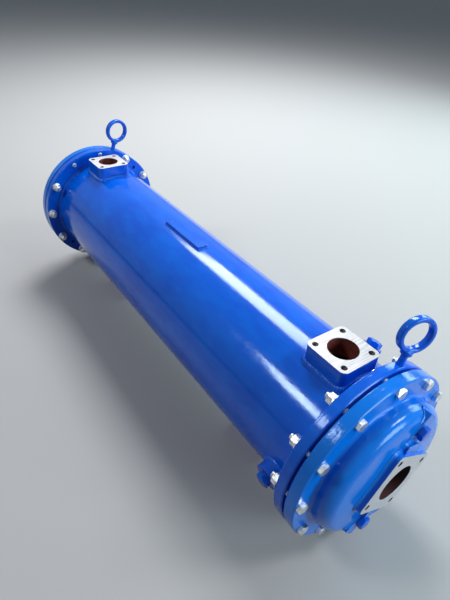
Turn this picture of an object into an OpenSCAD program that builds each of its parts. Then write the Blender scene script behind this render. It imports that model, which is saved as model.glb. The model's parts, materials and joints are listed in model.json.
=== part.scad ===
// Shell and tube heat exchanger: a welded shell with two square nozzles on top,
// a fixed bundle of straight tubes, and a cast bonnet with an axial port on each end.
// X runs along the shell with the near end at +X, Z is up, and the floor is z = 0
// below the middle of the shell.

/* [Shell] */
// Outside diameter of the shell pipe
shell_od = 273; // [250:1:276]
// Wall of the shell pipe
shell_wall = 8; // [6:0.5:9]
// Length of the shell over the front faces of its two flanges
shell_len = 1098; // [1000:2:1600]
// Height of the shell's axis above the floor
axis_h = 190; // [180:1:240]

/* [Flanged joints] */
// Width by which the flanges stand out beyond the shell
flange_lip = 36; // [33:0.5:50]
// Thickness of each shell flange
shell_flange_t = 20; // [16:1:30]
// Thickness of each bonnet flange
bonnet_flange_t = 22; // [16:1:30]
// Open gap between a shell flange and its bonnet flange
joint_gap = 5; // [4:0.5:10]
// Depth of the seat for the tube sheet in either flange
seat_depth = 7; // [6:0.5:9]
// Distance of the bolt circle from the rim of the flanges
bolt_edge = 12.5; // [10:0.5:16]
// Number of bolts in each flanged joint
bolt_count = 12; // [8:4:16]
// Diameter of the bolt holes
bolt_hole = 13.5; // [11:0.5:14]
// Turn of the bolt pattern from the top
bolt_turn = 2.5; // [0:0.5:5]
// Metal left between the bolt holes and the seat of the tube sheet
seat_edge = 3; // [2:0.5:5]
// Diameter of the jack screw holes in the back of the shell flanges
jack_hole = 10; // [6:0.5:11]
// Distance of the jack screw holes from the rim of the flanges
jack_edge = 20; // [18:0.5:24]
// Depth of the jack screw holes
jack_deep = 10; // [6:0.5:12]

/* [Nozzles on the shell] */
// Side of the square nozzle block
nozzle_side = 88; // [80:1:100]
// Corner radius of the nozzle block
nozzle_corner = 12; // [6:1:20]
// Height of the nozzle face above the crown of the shell
nozzle_h = 30; // [24:1:60]
// Bore of the nozzles
nozzle_bore = 53; // [40:1:56]
// Wall of the neck that passes through the shell
neck_wall = 5; // [3:0.5:6]
// Length of the neck inside the shell
neck_in = 2; // [1:0.5:4]
// Spacing of the four nozzle bolt holes along either side
nozzle_bolts = 64; // [60:1:66]
// Diameter of the tapped holes in the nozzles and the ports
tapped_hole = 10.5; // [8:0.5:12]
// Depth of the tapped holes in the nozzles
nozzle_tap = 22; // [12:1:24]
// Distance of the near nozzle from the near flange face
nozzle_near_in = 82; // [68:1:140]
// Distance of the far nozzle from the far flange face
nozzle_far_in = 96; // [68:1:140]

/* [Bonnets] */
// Step from the shell's outside in to the bonnet's drum
bonnet_step = 1.5; // [0:0.5:6]
// Wall of the bonnet casting
bonnet_wall = 9; // [6:0.5:12]
// Height of the bonnet's crown above its flange face
bonnet_depth = 43; // [38:1:80]
// Radius of the shoulder between the drum and the crown
bonnet_shoulder = 22; // [16:1:30]
// Radius of the crown
bonnet_crown = 1000; // [700:10:1500]
// Fillet between the drum and the bonnet flange
bonnet_fillet = 5; // [2:0.5:6]
// Side of the square port plate
port_side = 118; // [110:1:126]
// Corner radius of the port plate
port_corner = 12; // [6:1:20]
// Height of the port face above the crown
port_h = 9; // [6:0.5:30]
// Bore of the ports
port_bore = 73; // [60:1:80]
// Spacing of the four port bolt holes along either side
port_bolts = 90; // [84:1:94]
// Depth of the tapped holes in the ports
port_tap = 12; // [8:1:12]
// Distance of the vent and drain plugs from the drum's outside
vent_in = 35; // [32:0.5:38]
// Turn of the bonnet's vent from the top
vent_top_turn = 22; // [15:1:30]
// Depth of the vent and drain pads below the top of the crown
vent_pad_drop = 3; // [2:0.5:4]
// Length of the vent and drain pads
vent_pad_len = 64; // [50:1:72]
// Width of the vent and drain pads
vent_pad_w = 32; // [26:1:36]
// Turn of the long side of a pad from the line between the plug and the axis
vent_pad_turn = 29.5; // [20:0.5:40]
// Turn of the land from the top
land_turn = 17; // [10:1:20]
// Reach of the land between the port and the vent, from the axis
land_reach = 82; // [76:1:88]
// Width of the land
land_w = 42; // [30:1:50]
// Height of the land above the top of the crown
land_h = 4.5; // [2:0.5:7]

/* [Tube bundle] */
// Outside diameter of the tubes
tube_od = 19; // [12:0.5:20]
// Wall of the tubes
tube_wall = 1.6; // [1:0.1:2.5]
// Distance between the centres of neighbouring tubes
tube_pitch = 25.4; // [24:0.2:30]
// Length of tube that stands proud of either tube sheet
tube_proud = 2; // [0:0.5:4]
// Thickness of the gaskets on either side of a tube sheet
gasket_t = 2; // [1:0.5:3]
// Number of baffles
baffle_count = 5; // [3:1:6]
// Distance between neighbouring baffles
baffle_pitch = 150; // [100:5:180]
// Thickness of the baffles
baffle_t = 6; // [3:1:10]
// Diameter of the tie rods
tie_rod_d = 10; // [8:1:12]

/* [Plugs and bosses] */
// Width across the flats of the plugs
plug_flats = 24; // [17:1:27]
// Width across the flats of the bonnet plugs
vent_flats = 22; // [17:1:23]
// Height of the plug heads
plug_head = 11; // [6:1:14]
// Diameter of the plug shanks
plug_shank = 16; // [10:1:18]
// Diameter of the boss beside the near nozzle
vent_boss_d = 36; // [30:1:40]
// Height of the boss beside the near nozzle
vent_boss_h = 20; // [8:1:26]
// Turn of the boss beside the near nozzle from the top
vent_turn = 32; // [31:1:40]
// Diameter of the drain boss on the shell's side
drain_boss_d = 48; // [36:1:52]
// Height of the drain boss on the shell's side
drain_boss_h = 20; // [12:1:30]
// Turn of the drain boss from the top
drain_turn = -103; // [-120:1:-80]
// Distance of the drain boss from the near flange face
drain_in = 58; // [54:1:120]

/* [Lifting eyes] */
// Outside diameter of an eye
eye_od = 66; // [56:1:76]
// Width of the ring of an eye around its hole
eye_ring_w = 9; // [8:0.5:12]
// Depth of the ring of an eye through its hole
eye_ring_deep = 14; // [12:0.5:16]
// Diameter of the shank of an eye
eye_shank = 12; // [10:0.5:13]
// Clear height of the shank between the flange rim and the eye
eye_stand = 24; // [10:1:40]
// Turn of the eyes from the top
eye_turn = 17.5; // [12:0.5:22]
// Depth of the shank in the flange rim
eye_deep = 14; // [8:1:16]
// Diameter of the collar under an eye
eye_collar_d = 20; // [16:0.5:24]
// Height of the collar under an eye
eye_collar_h = 8; // [4:0.5:12]
// Turn of the near eye about its shank
eye_near_turn = 8; // [-90:1:90]
// Turn of the far eye about its shank
eye_far_turn = -5; // [-90:1:90]

/* [Name plate bar] */
// Length of the name plate bar
plate_len = 142; // [80:1:200]
// Width of the name plate bar
plate_w = 25; // [20:1:50]
// Height of the name plate bar above the crown
plate_h = 6; // [3:0.5:12]
// Place of the bar's middle along the shell
plate_x = -23; // [-150:1:150]
// Diameter of the pin holes in the name plate bar
plate_hole = 3; // [2:0.5:4]
// Distance of the pin holes from the bar's ends
plate_hole_in = 8; // [5:0.5:20]
// Distance of the pin holes from the bar's sides
plate_hole_side = 5; // [3:0.5:10]
// Depth of the pin holes
plate_hole_deep = 4; // [2:0.5:5]

/* [Feet] */
// Distance of the middle of a foot from the nearer flange face
foot_in = 219; // [180:1:300]
// Width of a foot across the shell
foot_w = 108; // [90:1:140]
// Length of a foot along the shell
foot_len = 110; // [90:1:140]
// Thickness of the foot's base plate
foot_base_t = 12; // [8:1:20]
// Thickness of the foot's web and ribs
foot_web_t = 10; // [6:1:16]
// Thickness of the pad between the foot and the shell
foot_pad_t = 6; // [4:1:10]
// Half of the angle that the pad wraps round the shell
foot_pad_wrap = 34; // [26:1:36]
// Distance by which the base plate stands out past the web
foot_edge = 4; // [2:0.5:8]
// Spacing of the anchor holes both ways
foot_bolts = 76; // [64:1:80]
// Diameter of the anchor holes
foot_hole = 14; // [11:0.5:18]

/* [Hidden] */

$fn = 72;

// Clearance between pieces that are welded or fitted together
fit_gap = 0.2;
// Chamfer on the rims of the flanges
rim_chamfer = 2;
// Step by which a cut runs past the surface that it opens
past = 1;
// Corner radius of the vent and drain pads
vent_pad_corner = 5;
// Corner radius of the section of an eye's ring
eye_corner = 3.5;

enamel_blue = [0.02, 0.17, 0.72];
cast_blue = [0.02, 0.22, 0.78];
plug_blue = [0.02, 0.12, 0.5];
brass_yellow = [0.72, 0.55, 0.3];
plain_steel = [0.5, 0.5, 0.5];
gasket_grey = [0.12, 0.13, 0.14];

shell_r = shell_od / 2;
shell_in_r = shell_r - shell_wall;
flange_od = shell_od + 2 * flange_lip;
bolt_pcd = flange_od - 2 * bolt_edge;
bonnet_od = shell_od - 2 * bonnet_step;
face_x = shell_len / 2;
seat_floor_x = face_x - seat_depth;
bonnet_back_x = face_x + joint_gap;
bonnet_face_x = bonnet_back_x + bonnet_flange_t;
bonnet_seat_x = bonnet_back_x + seat_depth;
crown_x = bonnet_face_x + bonnet_depth;
port_face_x = crown_x + port_h;
port_turn = bolt_turn + 360 / bolt_count;

// The tube sheet lies inside the bolts, in a seat in either flange
sheet_d = bolt_pcd - bolt_hole - 2 * seat_edge;
sheet_back_x = seat_floor_x + gasket_t;
sheet_front_x = bonnet_seat_x - gasket_t;
gasket_in_d = shell_od - 2 * shell_wall + 4;
bonnet_in_r = bonnet_od / 2 - bonnet_wall;
bonnet_gasket_in_d = 2 * bonnet_in_r + 4;
jack_turn = bolt_turn + 1.5 * 360 / bolt_count;

// The vent and the drain of a bonnet stand on flat pads; metal behind them keeps the wall whole
vent_x = crown_x - vent_pad_drop;
vent_r = bonnet_od / 2 - vent_in;
vent_back_d = plug_shank + 18;
vent_back = 16;

nozzle_face_z = shell_r + nozzle_h;
neck_d = nozzle_bore + 2 * neck_wall;
neck_end_z = shell_in_r - neck_in;

row_h = tube_pitch * sqrt(3) / 2;
bundle_r = shell_in_r - tube_od / 2 - 6;
row_max = floor(bundle_r / row_h);
tube_max = ceil(bundle_r / tube_pitch);
rod_level_count = 4;
rod_place_count = 2;
// Tubes sit on a triangular grid, and four of its places hold the tie rods
rod_sites = [for (side = [-1, 1], level = [-1, 1])
    [side * rod_place_count * tube_pitch, level * rod_level_count * row_h]];
tube_sites = [for (row = [-row_max:row_max], place = [-tube_max:tube_max])
    let (y = (place + (row % 2 == 0 ? 0 : 0.5)) * tube_pitch, z = row * row_h)
    if (norm([y, z]) <= bundle_r
        && !(abs(row) == rod_level_count && row % 2 == 0 && abs(place) == rod_place_count))
    [y, z]];
baffle_r = shell_in_r - 1.5;
baffle_cut = 2.5 * row_h;
baffle_first = -(baffle_count - 1) / 2 * baffle_pitch;

drain_x = face_x - drain_in;
foot_x = face_x - foot_in;
foot_pad_in_r = shell_r + fit_gap;
foot_pad_out_r = foot_pad_in_r + foot_pad_t;

function nozzle_x(end) = end > 0 ? face_x - nozzle_near_in : -(face_x - nozzle_far_in);

// Places a piece that is drawn about the shell's axis
module on_axis() {
    translate([0, 0, axis_h]) children();
}

// Draws a piece for the near end, or mirrored for the far end
module at_end(end) {
    mirror([end > 0 ? 0 : 1, 0, 0]) children();
}

// Turns what points up so that it leans from the top towards +Y
module from_top(angle) {
    rotate([-angle, 0, 0]) children();
}

module rod_x(x0, x1, d) {
    translate([x0, 0, 0]) rotate([0, 90, 0]) cylinder(d = d, h = x1 - x0);
}

module ring_x(x0, x1, od, id) {
    difference() {
        rod_x(x0, x1, od);
        rod_x(x0 - past, x1 + past, id);
    }
}

// A flat disc on the axis with chamfered rims
module disc_x(x0, x1, d, chamfer) {
    t = x1 - x0;
    translate([x0, 0, 0]) rotate([0, 90, 0]) rotate_extrude($fn = 120)
        polygon([[0, 0], [d / 2 - chamfer, 0], [d / 2, chamfer],
                 [d / 2, t - chamfer], [d / 2 - chamfer, t], [0, t]]);
}

module rounded_bar(length, width, corner) {
    u0 = length / 2 - corner;
    v0 = width / 2 - corner;
    square([length, 2 * v0], center = true);
    square([2 * u0, width], center = true);
    for (u = [-1, 1], v = [-1, 1]) translate([u * u0, v * v0]) circle(r = corner, $fn = 32);
}

module rounded_square(side, corner) {
    rounded_bar(side, side, corner);
}

// Repeats a hole at the four corners of a square
module four_corners(spacing) {
    for (u = [-1, 1], v = [-1, 1]) translate([u * spacing / 2, v * spacing / 2, 0]) children();
}

module flange_bolt_holes(x0, x1, turn) {
    for (k = [0:bolt_count - 1]) from_top(turn + k * 360 / bolt_count)
        translate([0, 0, bolt_pcd / 2]) rod_x(x0, x1, bolt_hole, $fn = 32);
}

module shell_tube() {
    color(enamel_blue) on_axis() difference() {
        rod_x(-seat_floor_x, seat_floor_x, shell_od, $fn = 120);
        rod_x(-seat_floor_x - past, seat_floor_x + past, 2 * shell_in_r, $fn = 120);
        for (end = [-1, 1]) translate([nozzle_x(end), 0, 0])
            cylinder(d = neck_d + 2 * fit_gap, h = shell_od);
        translate([nozzle_x(1), 0, 0]) from_top(vent_turn)
            cylinder(d = plug_shank + 2 * fit_gap, h = shell_od, $fn = 32);
        translate([drain_x, 0, 0]) from_top(drain_turn)
            cylinder(d = plug_shank + 2 * fit_gap, h = shell_od, $fn = 32);
    }
}

module shell_flange(end) {
    back_x = face_x - shell_flange_t;
    color(enamel_blue) on_axis() at_end(end) difference() {
        disc_x(back_x, face_x, flange_od, rim_chamfer);
        rod_x(back_x - past, face_x + past, shell_od + 2 * fit_gap, $fn = 120);
        rod_x(seat_floor_x, face_x + past, sheet_d + 2 * fit_gap, $fn = 120);
        flange_bolt_holes(back_x - past, face_x + past, bolt_turn);
        for (side = [0, 180]) from_top(jack_turn + side)
            translate([0, 0, flange_od / 2 - jack_edge])
                rod_x(back_x - past, back_x + jack_deep, jack_hole, $fn = 32);
        from_top(eye_turn) translate([face_x - shell_flange_t / 2, 0, flange_od / 2 - eye_deep])
            cylinder(d = eye_shank + 2 * fit_gap, h = eye_deep + past, $fn = 32);
    }
}

module nozzle(end) {
    color(enamel_blue) on_axis() translate([nozzle_x(end), 0, 0]) difference() {
        union() {
            difference() {
                linear_extrude(nozzle_face_z) rounded_square(nozzle_side, nozzle_corner);
                rod_x(-nozzle_side, nozzle_side, shell_od + 2 * fit_gap, $fn = 120);
            }
            translate([0, 0, neck_end_z]) cylinder(d = neck_d, h = nozzle_face_z - neck_end_z - past);
        }
        translate([0, 0, neck_end_z - past]) cylinder(d = nozzle_bore, h = shell_od);
        four_corners(nozzle_bolts) translate([0, 0, nozzle_face_z - nozzle_tap])
            cylinder(d = tapped_hole, h = nozzle_tap + past, $fn = 32);
    }
}

// A round boss that stands on the shell, drilled for a plug
module shell_boss(x, turn, d, h) {
    color(enamel_blue) on_axis() translate([x, 0, 0]) from_top(turn) difference() {
        cylinder(d = d, h = shell_r + h);
        rotate([turn, 0, 0]) rod_x(-d, d, shell_od + 2 * fit_gap, $fn = 120);
        cylinder(d = plug_shank + 2 * fit_gap, h = shell_r + h + past, $fn = 32);
    }
}

// A plug with a hexagon head; its head sits at height z on the local Z axis
module hex_plug(z, shank_len, flats) {
    translate([0, 0, z]) cylinder(d = flats / cos(30), h = plug_head, $fn = 6);
    translate([0, 0, z - shank_len]) cylinder(d = plug_shank, h = shank_len + past, $fn = 32);
}

module shell_plug(x, turn, boss_h) {
    color(plug_blue) on_axis() translate([x, 0, 0]) from_top(turn)
        hex_plug(shell_r + boss_h, boss_h + shell_wall, plug_flats);
}

module name_plate_bar() {
    color(enamel_blue) on_axis() translate([plate_x, 0, 0]) difference() {
        translate([-plate_len / 2, -plate_w / 2, 0]) cube([plate_len, plate_w, shell_r + plate_h]);
        rod_x(-plate_len, plate_len, shell_od + 2 * fit_gap, $fn = 120);
        for (u = [-1, 1], v = [-1, 1])
            translate([u * (plate_len / 2 - plate_hole_in), v * (plate_w / 2 - plate_hole_side),
                       shell_r + plate_h - plate_hole_deep])
                cylinder(d = plate_hole, h = plate_hole_deep + past, $fn = 20);
    }
}

module lifting_eye(end) {
    swing = end > 0 ? eye_near_turn : eye_far_turn;
    ring_r = (eye_od - eye_ring_w) / 2;
    ring_z = flange_od / 2 + eye_stand + eye_od / 2;
    color(enamel_blue) on_axis() at_end(end) translate([face_x - shell_flange_t / 2, 0, 0])
        from_top(eye_turn) {
            translate([0, 0, ring_z]) rotate([0, 0, swing]) rotate([0, 90, 0])
                rotate_extrude($fn = 64) translate([ring_r, 0])
                    rounded_bar(eye_ring_w, eye_ring_deep, eye_corner);
            translate([0, 0, flange_od / 2 - eye_deep])
                cylinder(d = eye_shank, h = eye_deep + eye_stand + eye_ring_w / 2, $fn = 32);
            translate([0, 0, flange_od / 2 + eye_stand - eye_collar_h / 2])
                cylinder(d = eye_collar_d, h = eye_collar_h);
        }
}

module gasket_shell(end) {
    color(gasket_grey) on_axis() at_end(end)
        ring_x(seat_floor_x, sheet_back_x, sheet_d, gasket_in_d, $fn = 120);
}

module gasket_bonnet(end) {
    color(gasket_grey) on_axis() at_end(end)
        ring_x(sheet_front_x, bonnet_seat_x, sheet_d, bonnet_gasket_in_d, $fn = 120);
}

module tube_sheet(end) {
    color(brass_yellow) on_axis() at_end(end) difference() {
        rod_x(sheet_back_x, sheet_front_x, sheet_d, $fn = 120);
        for (site = tube_sites) translate([0, site[0], site[1]])
            rod_x(sheet_back_x - past, sheet_front_x + past, tube_od + 2 * fit_gap, $fn = 32);
    }
}

module tubes() {
    end_x = sheet_front_x + tube_proud;
    color(brass_yellow) on_axis() for (site = tube_sites) translate([0, site[0], site[1]])
        ring_x(-end_x, end_x, tube_od, tube_od - 2 * tube_wall, $fn = 32);
}

module baffle(index) {
    x = baffle_first + index * baffle_pitch;
    open_side = index % 2 == 0 ? 1 : -1;
    difference() {
        rod_x(x - baffle_t / 2, x + baffle_t / 2, 2 * baffle_r);
        translate([x, 0, open_side * (baffle_cut + baffle_r)])
            cube([baffle_t + 2 * past, 3 * baffle_r, 2 * baffle_r], center = true);
        for (site = tube_sites) if (open_side * site[1] < baffle_cut) translate([0, site[0], site[1]])
            rod_x(x - baffle_t, x + baffle_t, tube_od + 2 * fit_gap, $fn = 32);
        for (site = rod_sites) if (open_side * site[1] < baffle_cut) translate([0, site[0], site[1]])
            rod_x(x - baffle_t, x + baffle_t, tie_rod_d + 2 * fit_gap, $fn = 32);
    }
}

module baffles() {
    color(plain_steel) on_axis() for (index = [0:baffle_count - 1]) baffle(index);
}

// The tie rods run from the near tube sheet past the last baffle
module tie_rods() {
    color(plain_steel) on_axis() for (site = rod_sites) translate([0, site[0], site[1]])
        rod_x(baffle_first - 2 * baffle_t, sheet_back_x, tie_rod_d, $fn = 32);
}

// Half outline of a drum with a round shoulder and a shallow crown, base at 0 and top at height
module bonnet_outline(r, shoulder, crown, height) {
    inner = r - shoulder;
    meet = crown * inner / (crown - shoulder);
    shoulder_z = height - crown + sqrt(pow(crown - shoulder, 2) - pow(inner, 2));
    intersection() {
        union() {
            square([r, shoulder_z]);
            square([meet, height]);
            translate([inner, shoulder_z]) circle(r = shoulder, $fn = 64);
        }
        translate([0, height - crown]) circle(r = crown, $fn = 720);
        square([r, height]);
    }
}

module bonnet_solid(x0, r, shoulder, crown, height) {
    translate([x0, 0, 0]) rotate([0, 90, 0]) rotate_extrude($fn = 120)
        bonnet_outline(r, shoulder, crown, height);
}

module bonnet_fillet_ring() {
    r = bonnet_od / 2;
    translate([bonnet_face_x, 0, 0]) rotate([0, 90, 0]) rotate_extrude($fn = 120) difference() {
        translate([r - past, -past]) square([bonnet_fillet + past, bonnet_fillet + past]);
        translate([r + bonnet_fillet, bonnet_fillet]) circle(r = bonnet_fillet, $fn = 32);
    }
}

// Places what is drawn along +Z from a plug's seat on the bonnet: 0 is the vent, 180 the drain
module at_seat(side) {
    from_top(vent_top_turn + side) translate([vent_x, 0, vent_r]) rotate([0, 90, 0]) children();
}

// The flat pad under a plug reaches down to the bonnet flange
module vent_pad(side) {
    depth = vent_x - bonnet_face_x;
    at_seat(side) rotate([0, 0, -vent_pad_turn]) translate([0, 0, -depth]) linear_extrude(depth)
        rounded_bar(vent_pad_len, vent_pad_w, vent_pad_corner);
}

// The land that runs out from the port towards the vent or the drain
module land(side) {
    from_top(land_turn + side) translate([bonnet_face_x, 0, land_reach - land_w / 2])
        rotate([0, 90, 0]) linear_extrude(crown_x + land_h - bonnet_face_x) rounded_square(land_w, 6);
}

module bonnet(end) {
    r = bonnet_od / 2;
    color(cast_blue) on_axis() at_end(end) difference() {
        union() {
            disc_x(bonnet_back_x, bonnet_face_x, flange_od, rim_chamfer);
            bonnet_solid(bonnet_back_x, r, bonnet_shoulder, bonnet_crown, crown_x - bonnet_back_x);
            bonnet_fillet_ring();
            from_top(port_turn) translate([bonnet_face_x, 0, 0]) rotate([0, 90, 0])
                linear_extrude(port_face_x - bonnet_face_x) rounded_square(port_side, port_corner);
            for (side = [0, 180]) land(side);
            for (side = [0, 180]) vent_pad(side);
        }
        difference() {
            bonnet_solid(bonnet_back_x - past, bonnet_in_r, bonnet_shoulder - bonnet_wall,
                         bonnet_crown - bonnet_wall, crown_x - bonnet_wall - bonnet_back_x + past);
            for (side = [0, 180]) at_seat(side)
                translate([0, 0, -vent_back]) cylinder(d = vent_back_d, h = 2 * vent_back);
        }
        for (side = [0, 180]) at_seat(side)
            translate([0, 0, -2 * vent_back])
                cylinder(d = plug_shank + 2 * fit_gap, h = 3 * vent_back, $fn = 32);
        rod_x(bonnet_back_x - past, bonnet_seat_x, sheet_d + 2 * fit_gap, $fn = 120);
        rod_x(bonnet_back_x, port_face_x + past, port_bore);
        from_top(port_turn) translate([port_face_x - port_tap, 0, 0]) rotate([0, 90, 0])
            four_corners(port_bolts) cylinder(d = tapped_hole, h = port_tap + past, $fn = 32);
        flange_bolt_holes(bonnet_back_x - past, bonnet_face_x + past, bolt_turn);
    }
}

module bonnet_plug(end, side) {
    color(plug_blue) on_axis() at_end(end) at_seat(side) hex_plug(0, vent_back, vent_flats);
}

module foot_pad(end) {
    color(enamel_blue) on_axis() at_end(end) translate([foot_x, 0, 0]) intersection() {
        ring_x(-foot_len / 2, foot_len / 2, 2 * foot_pad_out_r, 2 * foot_pad_in_r, $fn = 120);
        rotate([90, 0, 90]) linear_extrude(foot_len, center = true)
            polygon([[0, 0],
                     [2 * shell_r * sin(foot_pad_wrap), -2 * shell_r * cos(foot_pad_wrap)],
                     [-2 * shell_r * sin(foot_pad_wrap), -2 * shell_r * cos(foot_pad_wrap)]]);
    }
}

// The web stands across the shell and widens to the pad; two ribs stiffen it lengthwise
module foot_web(end) {
    top_w = 2 * foot_pad_out_r * sin(foot_pad_wrap - 2);
    base_z = foot_base_t - axis_h;
    color(enamel_blue) on_axis() at_end(end) translate([foot_x, 0, 0]) difference() {
        union() {
            rotate([90, 0, 90]) linear_extrude(foot_web_t, center = true)
                polygon([[-foot_w / 2 + foot_edge, base_z], [foot_w / 2 - foot_edge, base_z],
                         [top_w / 2, -foot_pad_out_r * cos(foot_pad_wrap - 2)],
                         [0, 0],
                         [-top_w / 2, -foot_pad_out_r * cos(foot_pad_wrap - 2)]]);
            translate([-foot_len / 2 + foot_edge, -foot_web_t / 2, base_z])
                cube([foot_len - 2 * foot_edge, foot_web_t, -base_z]);
        }
        rod_x(-foot_len, foot_len, 2 * foot_pad_out_r, $fn = 120);
    }
}

module foot_base(end) {
    color(enamel_blue) at_end(end) translate([foot_x, 0, 0]) difference() {
        linear_extrude(foot_base_t) square([foot_len, foot_w], center = true);
        translate([0, 0, -past]) four_corners(foot_bolts)
            cylinder(d = foot_hole, h = foot_base_t + 2 * past, $fn = 32);
    }
}

shell_tube();
shell_flange(1);  // shell_flange_near
shell_flange(-1);  // shell_flange_far
nozzle(1);  // nozzle_near
nozzle(-1);  // nozzle_far
shell_boss(nozzle_x(1), vent_turn, vent_boss_d, vent_boss_h);  // vent_boss
shell_boss(drain_x, drain_turn, drain_boss_d, drain_boss_h);  // drain_boss
shell_plug(nozzle_x(1), vent_turn, vent_boss_h);  // vent_plug
shell_plug(drain_x, drain_turn, drain_boss_h);  // drain_plug
name_plate_bar();
lifting_eye(1);  // lifting_eye_near
lifting_eye(-1);  // lifting_eye_far
gasket_shell(1);  // gasket_shell_near
gasket_shell(-1);  // gasket_shell_far
tube_sheet(1);  // tube_sheet_near
tube_sheet(-1);  // tube_sheet_far
gasket_bonnet(1);  // gasket_bonnet_near
gasket_bonnet(-1);  // gasket_bonnet_far
tubes();
baffles();
tie_rods();
bonnet(1);  // bonnet_near
bonnet(-1);  // bonnet_far
bonnet_plug(1, 0);  // bonnet_vent_plug_near
bonnet_plug(-1, 0);  // bonnet_vent_plug_far
bonnet_plug(1, 180);  // bonnet_drain_plug_near
bonnet_plug(-1, 180);  // bonnet_drain_plug_far
foot_pad(1);  // foot_pad_near
foot_pad(-1);  // foot_pad_far
foot_web(1);  // foot_web_near
foot_web(-1);  // foot_web_far
foot_base(1);  // foot_base_near
foot_base(-1);  // foot_base_far
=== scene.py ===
"""Looks of a shell and tube heat exchanger: glossy enamel, bare machined faces, bolts, welds and threads.

Everything is in metres in the frame's own axes: X runs along the shell, Z is up, the floor is z = 0.
"""

import json
import math
import random

import bmesh
import bpy
from mathutils import Matrix, Vector

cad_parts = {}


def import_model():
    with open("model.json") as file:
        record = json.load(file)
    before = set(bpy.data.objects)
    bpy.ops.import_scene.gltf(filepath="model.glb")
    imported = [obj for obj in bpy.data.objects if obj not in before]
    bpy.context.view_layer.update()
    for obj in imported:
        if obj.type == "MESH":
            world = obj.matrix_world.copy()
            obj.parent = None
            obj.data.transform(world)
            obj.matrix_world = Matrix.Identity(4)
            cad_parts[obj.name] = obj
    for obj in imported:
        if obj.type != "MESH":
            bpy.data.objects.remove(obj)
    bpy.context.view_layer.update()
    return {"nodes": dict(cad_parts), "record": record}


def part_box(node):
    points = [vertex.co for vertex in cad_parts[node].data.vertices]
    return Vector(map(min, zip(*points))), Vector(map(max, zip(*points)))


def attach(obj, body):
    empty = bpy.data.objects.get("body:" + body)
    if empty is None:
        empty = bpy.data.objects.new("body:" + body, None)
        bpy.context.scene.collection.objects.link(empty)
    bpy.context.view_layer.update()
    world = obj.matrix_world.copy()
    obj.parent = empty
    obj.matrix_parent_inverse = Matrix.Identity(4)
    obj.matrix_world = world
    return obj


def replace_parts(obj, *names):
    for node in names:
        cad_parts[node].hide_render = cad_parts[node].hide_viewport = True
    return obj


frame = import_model()
nodes = frame["nodes"]
random.seed(7)

MM = 0.001
ENDS = {"near": 1, "far": -1}

# Shell and flanges, read from the frame
shell_low, shell_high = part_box("shell_tube")
flange_low, flange_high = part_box("shell_flange_near")
bonnet_low, bonnet_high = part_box("bonnet_near")
AXIS_Z = (shell_low.z + shell_high.z) / 2
SHELL_R = (shell_high.z - shell_low.z) / 2
FLANGE_BACK_X = flange_low.x
FLANGE_FRONT_X = flange_high.x
FLANGE_R = (flange_high.z - flange_low.z) / 2
BONNET_FLANGE_T = 22 * MM
BONNET_FACE_X = bonnet_low.x + BONNET_FLANGE_T
PORT_FACE_X = bonnet_high.x

# Bolts of the flanged joints; WITHOUT_NUT counts from the bolt nearest the top towards +Y
BOLT_R = FLANGE_R - 12.5 * MM
BOLT_COUNT = 12
BOLT_TURN = 2.5
BOLT_D = 12 * MM
BOLT_PITCH = 1.75 * MM
BOLT_FLATS = 18 * MM
BOLT_HEAD = 7.5 * MM
HEAD_WASHER_FACE = 0.5 * MM
BOLT_STUB = 5.5 * MM
BARE_STUB = 4.5 * MM
POINT_H = 1.2 * MM
POINT_IN = 1.2 * MM
THREAD_INTO = 10 * MM
NUT_H = 10.8 * MM
WITHOUT_NUT = {"near": (0,), "far": (0, 11)}
WASHER_R = 12 * MM
WASHER_T = 2.5 * MM
WASHER_SOFT = 0.4 * MM

# Nozzles and ports with their tapped holes
NOZZLE_SIDE = 88 * MM
NOZZLE_CORNER = 12 * MM
NOZZLE_BORE_R = 26.5 * MM
NOZZLE_HOLES = 64 * MM
NOZZLE_TAP = 22 * MM
NOZZLE_FACE_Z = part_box("nozzle_near")[1].z
PORT_TURN = BOLT_TURN + 360 / BOLT_COUNT
PORT_SIDE = 118 * MM
PORT_CORNER = 12 * MM
PORT_BORE_R = 36.5 * MM
PORT_HOLES = 90 * MM
PORT_TAP = 12 * MM
PORT_H = 9 * MM
TAP_R = 5.25 * MM
TAP_PITCH = BOLT_PITCH / 2
TAP_OVERLAP = 0.1 * MM

# Bonnets: crown, shoulder, pads and lands
CROWN_X = PORT_FACE_X - PORT_H
CROWN_R = 1000 * MM
DRUM_R = SHELL_R - 1.5 * MM
SHOULDER_R = 22 * MM
VENT_TURN = 22
VENT_R = DRUM_R - 35 * MM
PAD_X = CROWN_X - 3 * MM
PAD_LEN = 64 * MM
PAD_W = 32 * MM
PAD_CORNER = 5 * MM
PAD_TURN = 29.5
LAND_TURN = 17
LAND_W = 42 * MM
LAND_CORNER = 6 * MM
LAND_REACH = 82 * MM
LINING_R = 104 * MM
LINING_SKIN = 5 * MM

# Plugs, with turn, diameter and height of the two bosses on the shell
SHELL_BOSS = {"vent": (32, 36 * MM, 20 * MM), "drain": (-103, 48 * MM, 20 * MM)}
PLUG_FLATS = 24 * MM
VENT_FLATS = 22 * MM
PLUG_HEAD = 11 * MM
PLUG_SHANK_R = 8 * MM
PLUG_SHANK_IN = 10 * MM
SEAL_H = 1.6 * MM
SEAL_SOFT = 0.3 * MM

# Lifting eyes: their place round the shell, and how far each ring swings from the solid's on its shank
EYE_TURN = 17.5
EYE_SWING = {"near": -28, "far": 0}
EYE_VOXEL = 1 * MM
EYE_SMOOTH_STEPS = 10

# Feet
FOOT_PAD_REACH = 6.2 * MM
FOOT_WEB_T = 10 * MM
FOOT_EDGE = 4 * MM

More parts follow.
